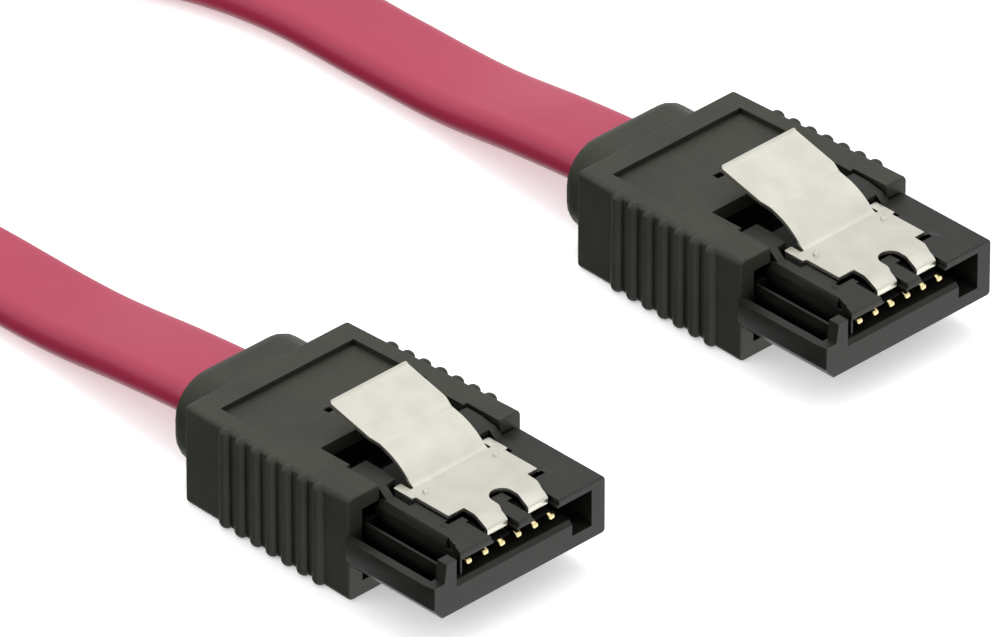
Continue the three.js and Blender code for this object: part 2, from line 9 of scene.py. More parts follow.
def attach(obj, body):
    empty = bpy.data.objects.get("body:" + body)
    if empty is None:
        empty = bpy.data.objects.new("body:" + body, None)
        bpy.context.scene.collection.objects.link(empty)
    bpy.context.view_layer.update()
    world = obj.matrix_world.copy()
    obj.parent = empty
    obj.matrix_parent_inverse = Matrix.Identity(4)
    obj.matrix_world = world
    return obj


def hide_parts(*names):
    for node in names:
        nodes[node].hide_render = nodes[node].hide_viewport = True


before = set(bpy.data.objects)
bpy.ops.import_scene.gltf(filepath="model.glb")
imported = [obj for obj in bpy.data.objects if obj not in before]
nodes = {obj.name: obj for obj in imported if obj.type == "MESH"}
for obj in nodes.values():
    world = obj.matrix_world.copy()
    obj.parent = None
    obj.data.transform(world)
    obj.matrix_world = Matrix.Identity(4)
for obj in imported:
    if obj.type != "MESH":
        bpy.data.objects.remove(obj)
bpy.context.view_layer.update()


# The photographer's table: a white sweep under a large overhead softbox, seen through a very long
# lens from the front left, 33 degrees above the table.
MM = 0.001
TABLE_REACH = 3  # metres each way from the middle
TABLE_DROP = 0.02 * MM  # clear of the plugs' undersides
CAMERA_YAW, CAMERA_PITCH = math.radians(45.984), math.radians(32.972)
CAMERA_AIM = Vector((-5.58, -0.601, 3.5)) * MM
CAMERA_DISTANCE = 0.96091
SOFTBOX_SIZE = 0.5


def linear(colour):
    """An sRGB hex colour as linear RGBA."""
    channels = [int(colour[i:i + 2], 16) / 255 for i in (0, 2, 4)]
    return [c / 12.92 if c <= 0.04045 else ((c + 0.055) / 1.055) ** 2.4 for c in channels] + [1]


def wire(tree, node, links):
    for name, source in links.items():
        tree.links.new(source, node.inputs[name])


def add(tree, kind, settings=None, links=None):
    """A new node: each setting goes to its property or its socket, each link to its socket."""
    made = tree.nodes.new(kind)
    for name, value in (settings or {}).items():
        if isinstance(name, str) and hasattr(made, name):
            setattr(made, name, value)
        else:
            made.inputs[name].default_value = value
    wire(tree, made, links or {})
    return made


def material(name):
    made = bpy.data.materials.new(name)
    made.use_nodes = True
    tree = made.node_tree
    tree.nodes.clear()
    shader = add(tree, "ShaderNodeBsdfPrincipled")
    add(tree, "ShaderNodeOutputMaterial", links={"Surface": shader.outputs[0]})
    return made, tree, shader


table_white, tree, shader = material("white_acrylic_sweep")
shader.inputs["Base Color"].default_value = linear("f8f8f8")
shader.inputs["Roughness"].default_value = 0.8
shader.inputs["Specular IOR Level"].default_value = 0.0
shader.inputs["Emission Color"].default_value = linear("ffffff")
shader.inputs["Emission Strength"].default_value = 0.4
table_mesh = bpy.data.meshes.new("table")
table_mesh.from_pydata([(x * TABLE_REACH, y * TABLE_REACH, -TABLE_DROP)
                        for x, y in ((-1, -1), (1, -1), (1, 1), (-1, 1))], [], [(0, 1, 2, 3)])
table_mesh.materials.append(table_white)
table = bpy.data.objects.new("table", table_mesh)
bpy.context.scene.collection.objects.link(table)
table.visible_glossy = False
table.visible_diffuse = False

right = Vector((math.cos(CAMERA_YAW), math.sin(CAMERA_YAW), 0))
away = Vector((-math.sin(CAMERA_YAW), math.cos(CAMERA_YAW), 0))
back = -away * math.cos(CAMERA_PITCH) + Vector((0, 0, 1)) * math.sin(CAMERA_PITCH)
upward = back.cross(right)
lens = bpy.data.cameras.new("camera")
lens.sensor_width = 36
lens.lens = 612
lens.clip_start = 0.01
lens.clip_end = 10
camera = bpy.data.objects.new("camera", lens)
bpy.context.scene.collection.objects.link(camera)
spot = CAMERA_AIM + back * CAMERA_DISTANCE
camera.matrix_world = Matrix((
    (right.x, upward.x, back.x, spot.x),
    (right.y, upward.y, back.y, spot.y),
    (right.z, upward.z, back.z, spot.z),
    (0, 0, 0, 1)))
bpy.context.scene.camera = camera

for name, place, power in (
        ("softbox_over", (-0.25, 0.25, 0.9), 5.0), ("softbox_left", (-0.5, -0.7, 0.45), 0.6)):
    lamp = bpy.data.lights.new(name, "AREA")
    lamp.shape = "SQUARE"
    lamp.size = SOFTBOX_SIZE
    lamp.energy = power
    holder = bpy.data.objects.new(name, lamp)
    holder.location = place
    holder.rotation_euler = Vector(place).to_track_quat("Z", "Y").to_euler()
    holder.visible_glossy = False
    bpy.context.scene.collection.objects.link(holder)

# The room: an even white ceiling, and below the horizon a white table with a dark card at the left and
# a bright reflector at the right, which the upright faces of the black plugs show.
room = bpy.data.worlds.new("white_room")
room.use_nodes = True
sky = room.node_tree
facing = add(sky, "ShaderNodeTexCoord").outputs["Generated"]
height = add(sky, "ShaderNodeSeparateXYZ", links={"Vector": facing}).outputs["Z"]
leftward = add(sky, "ShaderNodeVectorMath", {"operation": "DOT_PRODUCT", 1: (-0.695, -0.719, 0)},
               {0: facing}).outputs["Value"]
card = add(sky, "ShaderNodeMapRange",
           {"interpolation_type": "SMOOTHSTEP", "From Min": 0.35, "From Max": 0.75,
            "To Min": 1.0, "To Max": 0.1}, {"Value": leftward})
reflector = add(sky, "ShaderNodeMapRange",
                {"interpolation_type": "SMOOTHSTEP", "From Min": -0.3, "From Max": -0.75, "To Max": 1.45},
                {"Value": leftward, "To Min": card.outputs["Result"]})
ceiling = add(sky, "ShaderNodeMapRange",
              {"interpolation_type": "SMOOTHSTEP", "From Min": 0.4, "From Max": 0.85,
               "To Min": 0.8, "To Max": 1.1}, {"Value": height})
dome = add(sky, "ShaderNodeMapRange",
           {"interpolation_type": "SMOOTHSTEP", "From Min": -0.1, "From Max": 0.3},
           {"Value": height, "To Min": reflector.outputs["Result"], "To Max": ceiling.outputs["Result"]})
wire(sky, sky.nodes["Background"], {"Strength": dome.outputs["Result"]})
sky.nodes["Background"].inputs["Color"].default_value = (1, 1, 1, 1)
bpy.context.scene.world = room
bpy.context.scene.view_settings.view_transform = "Standard"


# The cord: a flat jacket of semi-gloss red PVC, extruded round four cores and three drain wires.
# It leaves each boot lying flat, turns on edge, and folds into a loop behind the plugs.
CORD_WIDTH = 6.2 * MM
CORD_THICKNESS = 2.1 * MM
TWIST_START = 34 * MM
TWIST_END = 70 * MM
CORD_STEPS = 420
SPLINE_STEPS = 24
route = [Vector(p) * MM for p in (
    (-7.2, -16.35, 3.26), (-11.8, -16.35, 3.24), (-16.57, -16.22, 2.73), (-24.05, -15.73, 1.49),
    (-31.62, -15.5, 1.18), (-39.22, -15.33, 1.18), (-46.61, -13.7, 1.39), (-53.47, -10.53, 2.13),
    (-60.06, -6.84, 2.88), (-66.89, -3.55, 3.35), (-74.22, -1.71, 3.83), (-81.8, -1.45, 4.2),
    (-91.22, -2.39, 3.7), (-99.45, -6.96, 3.3), (-106.17, -13.69, 3.24), (-114.13, -18.76, 3.23),
    (-123.5, -19.71, 3.23), (-132.26, -16.25, 3.23), (-138.45, -9.15, 3.23), (-140.68, 0, 3.23),
    (-138.45, 9.15, 3.23), (-132.26, 16.25, 3.23), (-123.5, 19.71, 3.23), (-114.13, 18.76, 3.23),
    (-106.17, 13.69, 3.24), (-99.45, 6.96, 3.3), (-91.22, 2.39, 3.7), (-81.8, 1.45, 4.2),
    (-74.37, 1.78, 3.84), (-67.31, 4.02, 3.35), (-60.91, 7.79, 2.82), (-54.75, 11.93, 2.05),
    (-48.22, 15.42, 1.35), (-40.99, 17.09, 1.18), (-33.54, 17.2, 1.18), (-26.1, 16.96, 1.51),
    (-18.77, 16.48, 2.73), (-14, 16.35, 3.24), (-9.4, 16.35, 3.26))]


def smooth_line(points, steps):
    """A smooth line through the points, as centripetal Catmull-Rom pieces, spaced evenly."""
    ends = [points[0] * 2 - points[1]] + points + [points[-1] * 2 - points[-2]]
    line = []
    for a, b, c, d in zip(ends, ends[1:], ends[2:], ends[3:]):
        t0, t1 = 0.0, (b - a).length ** 0.5
        t2 = t1 + (c - b).length ** 0.5
        t3 = t2 + (d - c).length ** 0.5
        for i in range(SPLINE_STEPS):
            t = t1 + (t2 - t1) * i / SPLINE_STEPS
            p = a.lerp(b, (t - t0) / (t1 - t0))
            q = b.lerp(c, (t - t1) / (t2 - t1))
            r = c.lerp(d, (t - t2) / (t3 - t2))
            p, q = p.lerp(q, (t - t0) / (t2 - t0)), q.lerp(r, (t - t1) / (t3 - t1))
            line.append(p.lerp(q, (t - t1) / (t2 - t1)))
    line.append(points[-1])
    gone = [0.0]
    for a, b in zip(line, line[1:]):
        gone.append(gone[-1] + (b - a).length)
    even, k = [], 0
    for i in range(steps + 1):
        want = gone[-1] * i / steps
        while k < len(line) - 2 and gone[k + 1] < want:
            k += 1
        even.append(line[k].lerp(line[k + 1], (want - gone[k]) / (gone[k + 1] - gone[k])))
    return even, gone[-1]


def finished(name, mesh, colour, body="cable"):
    """The mesh as an object of one material, riding on its body."""
    piece = bpy.data.objects.new(name, mesh)
    bpy.context.scene.collection.objects.link(piece)
    mesh.materials.clear()
    mesh.materials.append(colour)
    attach(piece, body)
    return piece


cord_red, tree, shader = material("extruded_pvc_jacket")
# Extruded PVC: an even red, a soft sheen, and faint lines along it from the die.
grain = add(tree, "ShaderNodeMapping", {"Scale": (25, 2600, 1)},
            {"Vector": add(tree, "ShaderNodeUVMap", {"uv_map": "along"}).outputs[0]})
lines = add(tree, "ShaderNodeTexNoise", {"Scale": 1, "Detail": 3}, {"Vector": grain.outputs[0]})
cloud = add(tree, "ShaderNodeTexNoise", {"Scale": 180, "Detail": 2},
            {"Vector": add(tree, "ShaderNodeTexCoord").outputs["Object"]})
tone = add(tree, "ShaderNodeValToRGB", links={"Fac": cloud.outputs["Fac"]})
tone.color_ramp.elements[0].color = linear("9a1a3e")
tone.color_ramp.elements[1].color = linear("a62246")
shader.inputs["Specular IOR Level"].default_value = 0.75
gloss = add(tree, "ShaderNodeMapRange", {"To Min": 0.3, "To Max": 0.44}, {"Value": lines.outputs["Fac"]})
relief = add(tree, "ShaderNodeBump", {"Strength": 0.25, "Distance": 0.02 * MM},
             {"Height": lines.outputs["Fac"]})
wire(tree, shader, {
    "Base Color": tone.outputs["Color"],
    "Roughness": gloss.outputs["Result"],
    "Normal": relief.outputs["Normal"]})

centres, cord_length = smooth_line(route, CORD_STEPS)
mesh = bmesh.new()
along = mesh.loops.layers.uv.new("along")
radius, cord_reach = CORD_THICKNESS / 2, (CORD_WIDTH - CORD_THICKNESS) / 2
section = []
for side in (1, -1):
    for i in range(13):  # half a turn round each rounded edge
        angle = math.pi * (i / 12 - 0.5)
        section.append((side * (cord_reach + radius * math.cos(angle)), side * radius * math.sin(angle)))
around = [0.0]
for (a, b), (c, d) in zip(section, section[1:] + section[:1]):
    around.append(around[-1] + math.hypot(c - a, d - b))
rings = []
for i, centre in enumerate(centres):
    ahead = (centres[min(i + 1, CORD_STEPS)] - centres[max(i - 1, 0)]).normalized()
    level = Vector((0, 0, 1)).cross(ahead).normalized()
    rise = ahead.cross(level)
    from_end = min(i, CORD_STEPS - i) / CORD_STEPS * cord_length
    t = min(max((from_end - TWIST_START) / (TWIST_END - TWIST_START), 0), 1)
    turn = t * t * (3 - 2 * t) * math.pi / 2
    wide = level * math.cos(turn) + rise * math.sin(turn)
    thick = ahead.cross(wide)
    rings.append([mesh.verts.new(centre + wide * u + thick * v) for u, v in section])
for i, (ring, after) in enumerate(zip(rings, rings[1:])):
    for k in range(len(section)):
        m = (k + 1) % len(section)
        face = mesh.faces.new((ring[k], ring[m], after[m], after[k]))
        face.smooth = True
        for loop, (u, v) in zip(face.loops, ((i, k), (i, k + 1), (i + 1, k + 1), (i + 1, k))):
            loop[along].uv = (u / CORD_STEPS * cord_length, around[v])
mesh.faces.new(list(reversed(rings[0])))
mesh.faces.new(rings[-1])
bmesh.ops.recalc_face_normals(mesh, faces=mesh.faces)
cord_mesh = bpy.data.meshes.new("cord_jacket")
mesh.to_mesh(cord_mesh)
cord = finished("cord_jacket", cord_mesh, cord_red)
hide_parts("cord")

# The overmould: the soft black body of each plug, one shot of PVC moulded round the housing and the
# cord's end, with seven grip ribs on each side, a sunk panel, a window for the clip and a rounded boot.
PLUGS = {"a": Vector((5.54, -16.35, 0)) * MM, "b": Vector((3.34, 16.35, 0)) * MM}
BODY_WIDTH = 13.3 * MM
BODY_HEIGHT = 6.75 * MM
BODY_LENGTH = 13.6 * MM
BODY_TAPER = 0.05
BODY_SLOPE = 0.035
BODY_EDGE = 0.09 * MM
RIB_COUNT = 7
RIB_PITCH = 1.29 * MM
RIB_PROUD = 0.4 * MM
RIB_RADIUS = 0.475 * MM
FIRST_RIB = -2.45 * MM
RIB_OVERLAP = 0.01 * MM  # past the body's faces, so that no two faces coincide
BOOT_REAR = -16.0 * MM
BOOT_HALF_WIDTH = 4.91 * MM
BOOT_HALF_HEIGHT = 2.935 * MM
BOOT_MIDDLE = (-0.2 * MM, 3.375 * MM)
BOOT_CORNER = 2.42 * MM
BOOT_SOFT = 0.8 * MM  # radius round its rear end
CORD_HEIGHT = 3.26 * MM
CORD_CLEARANCE = 0.2 * MM

soft_black, tree, shader = material("soft_touch_pvc_moulding")
# Soft black PVC from a spark-eroded mould: matt, with an even fine grain that breaks up every highlight.
# The real grain is about 0.05 mm; here it is 0.14 mm, so that it shows.
place = add(tree, "ShaderNodeTexCoord").outputs["Object"]
spark = add(tree, "ShaderNodeTexVoronoi", {"Scale": 1 / (0.14 * MM)}, {"Vector": place})
fine = add(tree, "ShaderNodeTexNoise", {"Scale": 1 / (0.09 * MM), "Detail": 2}, {"Vector": place})
cloud = add(tree, "ShaderNodeTexNoise", {"Scale": 1 / (3.5 * MM), "Detail": 4}, {"Vector": place})
tone = add(tree, "ShaderNodeValToRGB", links={"Fac": cloud.outputs["Fac"]})
tone.color_ramp.elements[0].position = 0.3
tone.color_ramp.elements[0].color = linear("2e2f28")
tone.color_ramp.elements[1].position = 0.7
tone.color_ramp.elements[1].color = linear("36372f")
dust = add(tree, "ShaderNodeMapRange", {"From Min": 0.62, "From Max": 0.8}, {"Value": fine.outputs["Fac"]})
speck = add(tree, "ShaderNodeMix", {"data_type": "RGBA", 7: linear("4b4c45")},
            {0: dust.outputs["Result"], 6: tone.outputs["Color"]})
# Painted shade: the window and the deep corners are darkened to almost black, the more the more enclosed they
# are.
deep = add(tree, "ShaderNodeAmbientOcclusion", {"samples": 8, "Distance": 1.6 * MM})
open_to_light = add(tree, "ShaderNodeMapRange", {"From Min": 0.2, "From Max": 0.6},
                    {"Value": deep.outputs["AO"]})
painted_shade = add(tree, "ShaderNodeMix", {"data_type": "RGBA", 6: linear("050504")},
            {0: open_to_light.outputs["Result"], 7: speck.outputs[2]})
shader.inputs["Specular IOR Level"].default_value = 0.22
gloss = add(tree, "ShaderNodeMapRange", {"To Min": 0.34, "To Max": 0.5}, {"Value": cloud.outputs["Fac"]})
pits = add(tree, "ShaderNodeBump", {"Strength": 0.35, "Distance": 0.02 * MM},
           {"Height": spark.outputs["Distance"]})
relief = add(tree, "ShaderNodeBump", {"Strength": 0.3, "Distance": 0.015 * MM},
             {"Height": fine.outputs["Fac"], "Normal": pits.outputs["Normal"]})
wire(tree, shader, {
    "Base Color": painted_shade.outputs[2],
    "Roughness": gloss.outputs["Result"],
    "Normal": relief.outputs["Normal"]})

# The grip ribs: a ball pulled up and down into a round bar, set in a row on each side, and then drawn
# in towards the rear as the body is.
rib_tree = bpy.data.node_groups.new("grip_ribs", "GeometryNodeTree")
for name, kind in (("Count", "Int"), ("Pitch", "Float"), ("Radius", "Float"), ("Height", "Float"),
                   ("First", "Float"), ("Side", "Float"), ("Taper", "Float"), ("Slope", "Float"),
                   ("Length", "Float"), ("Finish", "Material")):
    rib_tree.interface.new_socket(name, in_out="INPUT", socket_type="NodeSocket" + kind)
rib_tree.interface.new_socket("Ribs", in_out="OUTPUT", socket_type="NodeSocketGeometry")
given = add(rib_tree, "NodeGroupInput").outputs
ball = add(rib_tree, "GeometryNodeMeshUVSphere", {"Segments": 24, "Rings": 12}, {"Radius": given["Radius"]})
apart = add(rib_tree, "ShaderNodeSeparateXYZ",
            links={"Vector": add(rib_tree, "GeometryNodeInputPosition").outputs[0]})
half = add(rib_tree, "ShaderNodeMath", {"operation": "MULTIPLY", 1: 0.5}, {0: given["Height"]})
inset = add(rib_tree, "ShaderNodeMath", {"operation": "SUBTRACT"}, {0: half.outputs[0], 1: given["Radius"]})
upward_or_down = add(rib_tree, "ShaderNodeMath", {"operation": "SIGN"}, {0: apart.outputs["Z"]})
pulled = add(rib_tree, "ShaderNodeMath", {"operation": "MULTIPLY"},
             {0: upward_or_down.outputs[0], 1: inset.outputs[0]})
bar = add(rib_tree, "GeometryNodeSetPosition", links={
    "Geometry": ball.outputs["Mesh"],
    "Offset": add(rib_tree, "ShaderNodeCombineXYZ", links={"Z": pulled.outputs[0]}).outputs[0]})
backward = add(rib_tree, "ShaderNodeMath", {"operation": "MULTIPLY", 1: -1}, {0: given["Pitch"]})
step = add(rib_tree, "ShaderNodeCombineXYZ", links={"X": backward.outputs[0]})
rows = add(rib_tree, "GeometryNodeJoinGeometry")
for sign in (1, -1):
    across = add(rib_tree, "ShaderNodeMath", {"operation": "MULTIPLY", 1: sign}, {0: given["Side"]})
    start = add(rib_tree, "ShaderNodeCombineXYZ",
                links={"X": given["First"], "Y": across.outputs[0], "Z": half.outputs[0]})
    row = add(rib_tree, "GeometryNodeMeshLine", links={
        "Count": given["Count"], "Start Location": start.outputs[0], "Offset": step.outputs[0]})
    rib_tree.links.new(row.outputs["Mesh"], rows.inputs[0])
placed = add(rib_tree, "GeometryNodeInstanceOnPoints",
             links={"Points": rows.outputs[0], "Instance": bar.outputs["Geometry"]})
real = add(rib_tree, "GeometryNodeRealizeInstances", links={"Geometry": placed.outputs[0]})
spot_now = add(rib_tree, "GeometryNodeInputPosition")
apart = add(rib_tree, "ShaderNodeSeparateXYZ", links={"Vector": spot_now.outputs[0]})
share = add(rib_tree, "ShaderNodeMath", {"operation": "DIVIDE"}, {0: apart.outputs["X"], 1: given["Length"]})
thinner = add(rib_tree, "ShaderNodeMath", {"operation": "MULTIPLY_ADD", 2: 1.0},
              {0: share.outputs[0], 1: given["Taper"]})
lower = add(rib_tree, "ShaderNodeMath", {"operation": "MULTIPLY_ADD", 2: 1.0},
            {0: share.outputs[0], 1: given["Slope"]})
scale = add(rib_tree, "ShaderNodeCombineXYZ", {"X": 1.0}, {"Y": thinner.outputs[0], "Z": lower.outputs[0]})
drawn_in = add(rib_tree, "ShaderNodeVectorMath", {"operation": "MULTIPLY"},
               {0: spot_now.outputs[0], 1: scale.outputs[0]})
tapered = add(rib_tree, "GeometryNodeSetPosition",
              links={"Geometry": real.outputs[0], "Position": drawn_in.outputs[0]})
coated = add(rib_tree, "GeometryNodeSetMaterial",
             links={"Geometry": tapered.outputs["Geometry"], "Material": given["Finish"]})
add(rib_tree, "NodeGroupOutput", links={"Ribs": coated.outputs[0]})


def worked(name, mesh, *steps):
    """A plain mesh: the given one after these modifiers, each a kind and its settings."""
    blank = bpy.data.objects.new(name, mesh)
    bpy.context.scene.collection.objects.link(blank)
    for kind, settings in steps:
        tool = blank.modifiers.new(kind, kind)
        if kind == "NODES":
            tool.node_group = settings.pop("tree")
            sockets = {item.name: item.identifier for item in tool.node_group.interface.items_tree
                       if item.in_out == "INPUT"}
            for key, value in settings.items():
                tool[sockets[key]] = value
        else:
            for key, value in settings.items():
                setattr(tool, key, value)
    made = bpy.data.meshes.new_from_object(blank.evaluated_get(bpy.context.evaluated_depsgraph_get()))
    bpy.data.objects.remove(blank)
    made.name = name
    return made


def cad_copy(node):
    """A CAD node's mesh, with its doubled points merged and its flat faces whole again."""
    mesh = bmesh.new()
    mesh.from_mesh(nodes[node].data)
    bmesh.ops.remove_doubles(mesh, verts=mesh.verts, dist=0.0005 * MM)
    bmesh.ops.dissolve_limit(mesh, angle_limit=math.radians(1), verts=mesh.verts, edges=mesh.edges)
    copy = bpy.data.meshes.new(node + "_copy")
    mesh.to_mesh(copy)
    return copy


def soft_edged(name, mesh, width, *more):
    """The mesh with its edges rounded, then any more steps, shaded as one smooth moulding."""
    steps = [("BEVEL", {"width": width, "segments": 3, "limit_method": "ANGLE",
                        "angle_limit": math.radians(40), "use_clamp_overlap": True})]
    rounded = worked(name, mesh, *steps, *more)
    for face in rounded.polygons:
        face.use_smooth = True
    rounded.set_sharp_from_angle(angle=math.radians(38))
    return worked(name, rounded, ("WEIGHTED_NORMAL", {"keep_sharp": True}))


def lofted(name, bodies, goes_round=False):
    """A closed mesh: each body runs through its rings of points, and is capped unless it goes round."""
    mesh = bmesh.new()
    for body in bodies:
        rings = [[mesh.verts.new(point) for point in ring] for ring in body]
        for one, two in zip(rings, rings[1:] + (rings[:1] if goes_round else [])):
            for i in range(len(one)):
                j = (i + 1) % len(one)
                mesh.faces.new((one[i], one[j], two[j], two[i])).smooth = True
        if not goes_round:
            mesh.faces.new(rings[0][::-1])
            mesh.faces.new(rings[-1])
    bmesh.ops.recalc_face_normals(mesh, faces=mesh.faces)
    made = bpy.data.meshes.new(name)
    mesh.to_mesh(made)
    return made


def tool_part(name, mesh, origin=Vector()):
    """An object for a boolean step, with its own copy of the mesh, moved to the plug's place."""
    part = bpy.data.objects.new(name, mesh.copy())
    part.data.transform(Matrix.Translation(origin))
    bpy.context.scene.collection.objects.link(part)
    return part


# The boot is a block with large corners, softened at its rear, round a hole that clears the cord.
boot_corners = [(BOOT_MIDDLE[0] + y_side * (BOOT_HALF_WIDTH - BOOT_CORNER),
                 BOOT_MIDDLE[1] + z_side * (BOOT_HALF_HEIGHT - BOOT_CORNER), math.pi / 2 * (k + i / 12))
                for k, (y_side, z_side) in enumerate(((1, 1), (-1, 1), (-1, -1), (1, -1))) for i in range(13)]
boot_steps = [(BOOT_REAR + BOOT_SOFT * (1 - math.sin(t)), BOOT_SOFT * (1 - math.cos(t)))
              for t in (math.pi / 2 * i / 6 for i in range(6, -1, -1))]
boot_steps.append((-BODY_LENGTH + 0.9 * MM, 0))
boot = lofted("boot", [[[(x, y + (BOOT_CORNER - less) * math.cos(t), z + (BOOT_CORNER - less) * math.sin(t))
                         for y, z, t in boot_corners] for x, less in boot_steps]])
hole_radius = CORD_THICKNESS / 2 + CORD_CLEARANCE
hole_turns = [math.tau * (i + 0.5) / 40 for i in range(40)]
hole = lofted("hole", [[[(x, math.copysign(cord_reach, math.cos(t)) + hole_radius * math.cos(t),
                          CORD_HEIGHT + hole_radius * math.sin(t)) for t in hole_turns]
                        for x in (BOOT_REAR - 0.3 * MM, -BODY_LENGTH + 1.5 * MM)]])

for tag, origin in PLUGS.items():
    ribs = worked("ribs", bpy.data.meshes.new("ribs"), ("NODES", {
        "tree": rib_tree, "Count": RIB_COUNT, "Pitch": RIB_PITCH, "Radius": RIB_RADIUS,
        "Height": BODY_HEIGHT + RIB_OVERLAP, "First": FIRST_RIB,
        "Side": BODY_WIDTH / 2 + RIB_PROUD - RIB_RADIUS + RIB_OVERLAP, "Taper": BODY_TAPER,
        "Slope": BODY_SLOPE, "Length": BODY_LENGTH, "Finish": soft_black}))
    rib_tool = tool_part("rib_tool", ribs, origin)
    boot_tool = tool_part("boot_tool", boot, origin)
    hole_tool = tool_part("hole_tool", hole, origin)
    boot_ring = tool_part("boot_ring", worked("boot_ring", boot_tool.data, (
        "BOOLEAN", {"operation": "DIFFERENCE", "object": hole_tool, "solver": "EXACT"})))
    body = soft_edged(f"overmould_{tag}_fine", cad_copy(f"overmould_{tag}"), BODY_EDGE,
                      ("BOOLEAN", {"operation": "UNION", "object": rib_tool, "solver": "EXACT"}),
                      ("BOOLEAN", {"operation": "UNION", "object": boot_ring, "solver": "EXACT"}))
    for part in (rib_tool, boot_tool, hole_tool, boot_ring):
        bpy.data.objects.remove(part)
    piece = finished(f"overmould_{tag}_fine", body, soft_black)
    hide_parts(f"overmould_{tag}")

# The inner mould: polyethylene shot over the soldered wires before the overmould, matt and very dark.
# Only a little of it shows, through the window round the clip.
# The same near-black finish is also laid on the housing's slot webs, as painted shade.
inner_black, tree, shader = material("hot_melt_polyethylene_and_web_shade")
# Polyethylene, rough from the tool, with sink marks that swell and dip over a millimetre or so.
shader.inputs["Specular IOR Level"].default_value = 0.1
place = add(tree, "ShaderNodeTexCoord").outputs["Object"]
sink = add(tree, "ShaderNodeTexNoise", {"Scale": 1 / (1.2 * MM), "Detail": 3}, {"Vector": place})
tone = add(tree, "ShaderNodeValToRGB", links={"Fac": sink.outputs["Fac"]})
tone.color_ramp.elements[0].color = linear("050505")
tone.color_ramp.elements[1].color = linear("0a0a09")
gloss = add(tree, "ShaderNodeMapRange", {"To Min": 0.7, "To Max": 0.9}, {"Value": sink.outputs["Fac"]})
relief = add(tree, "ShaderNodeBump", {"Strength": 0.4, "Distance": 0.05 * MM},
             {"Height": sink.outputs["Fac"]})
wire(tree, shader, {
    "Base Color": tone.outputs["Color"],
    "Roughness": gloss.outputs["Result"],
    "Normal": relief.outputs["Normal"]})

# The cores are copper wires in foamed white insulation, the drains are bare tinned copper; they run
# inside the overmould, from the cord's end to the tails of the contacts.
core_white, tree, shader = material("foamed_polyethylene_core")
# Foamed insulation: milky white with fine cells of about 0.1 mm.
shader.inputs["Roughness"].default_value = 0.55
cells = add(tree, "ShaderNodeTexVoronoi", {"Scale": 1 / (0.1 * MM)},
            {"Vector": add(tree, "ShaderNodeTexCoord").outputs["Object"]})
tone = add(tree, "ShaderNodeValToRGB", links={"Fac": cells.outputs["Distance"]})
tone.color_ramp.elements[0].color = linear("d9d6cc")
tone.color_ramp.elements[1].color = linear("efede6")
relief = add(tree, "ShaderNodeBump", {"Strength": 0.3, "Distance": 0.01 * MM},
             {"Height": cells.outputs["Distance"]})
wire(tree, shader, {"Base Color": tone.outputs["Color"], "Normal": relief.outputs["Normal"]})

tinned, tree, shader = material("tinned_copper_wire")
# Tinned copper: a dull silver with drawing lines along the wire, 0.05 mm apart.
shader.inputs["Metallic"].default_value = 1
drawn = add(tree, "ShaderNodeMapping", {"Scale": (1 / (2 * MM), 1 / (0.05 * MM), 1 / (0.05 * MM))},
            {"Vector": add(tree, "ShaderNodeTexCoord").outputs["Object"]})
lines = add(tree, "ShaderNodeTexNoise", {"Scale": 1, "Detail": 2}, {"Vector": drawn.outputs[0]})
tone = add(tree, "ShaderNodeValToRGB", links={"Fac": lines.outputs["Fac"]})
tone.color_ramp.elements[0].color = linear("b5b3ac")
tone.color_ramp.elements[1].color = linear("d8d7d2")
gloss = add(tree, "ShaderNodeMapRange", {"To Min": 0.3, "To Max": 0.5}, {"Value": lines.outputs["Fac"]})
wire(tree, shader, {"Base Color": tone.outputs["Color"], "Roughness": gloss.outputs["Result"]})

# The pieces inside the overmould stay the CAD's own nodes, in these materials.
for name, node in nodes.items():
    for start, finish in (("inner_mould", inner_black), ("core", core_white), ("drain", tinned)):
        if name.startswith(start):
            node.data.materials.clear()
            node.data.materials.append(finish)

# The housing: the hard nose that plugs in, moulded in one piece with its base and cheeks. The nose holds
# the L-shaped slot, with an open side: a low rail, a channel, a ridge and a roof cut back at its corner.
hard_black, tree, shader = material("satin_nylon_moulding")
# Glass-filled nylon: dark and satin, slightly lighter and greyer than the overmould, with faint flow
# marks along the nose and glass fibres that prick the surface. The fibres are drawn 0.1 mm wide.
place = add(tree, "ShaderNodeTexCoord").outputs["Object"]
flow = add(tree, "ShaderNodeTexNoise", {"Scale": 1, "Detail": 3}, {"Vector": add(
    tree, "ShaderNodeMapping", {"Scale": (1 / (2.4 * MM), 1 / (0.6 * MM), 1 / (0.9 * MM))},
    {"Vector": place}).outputs[0]})
fibres = add(tree, "ShaderNodeTexNoise", {"Scale": 1 / (0.1 * MM), "Detail": 3, "Roughness": 0.7},
             {"Vector": place})
tone = add(tree, "ShaderNodeValToRGB", links={"Fac": flow.outputs["Fac"]})
tone.color_ramp.elements[0].position = 0.3
tone.color_ramp.elements[0].color = linear("1c1c19")
tone.color_ramp.elements[1].position = 0.75
tone.color_ramp.elements[1].color = linear("252521")
shown = add(tree, "ShaderNodeMapRange", {"From Min": 0.66, "From Max": 0.82},
            {"Value": fibres.outputs["Fac"]})
prick = add(tree, "ShaderNodeMix", {"data_type": "RGBA", 7: linear("42443f")},
            {0: shown.outputs["Result"], 6: tone.outputs["Color"]})
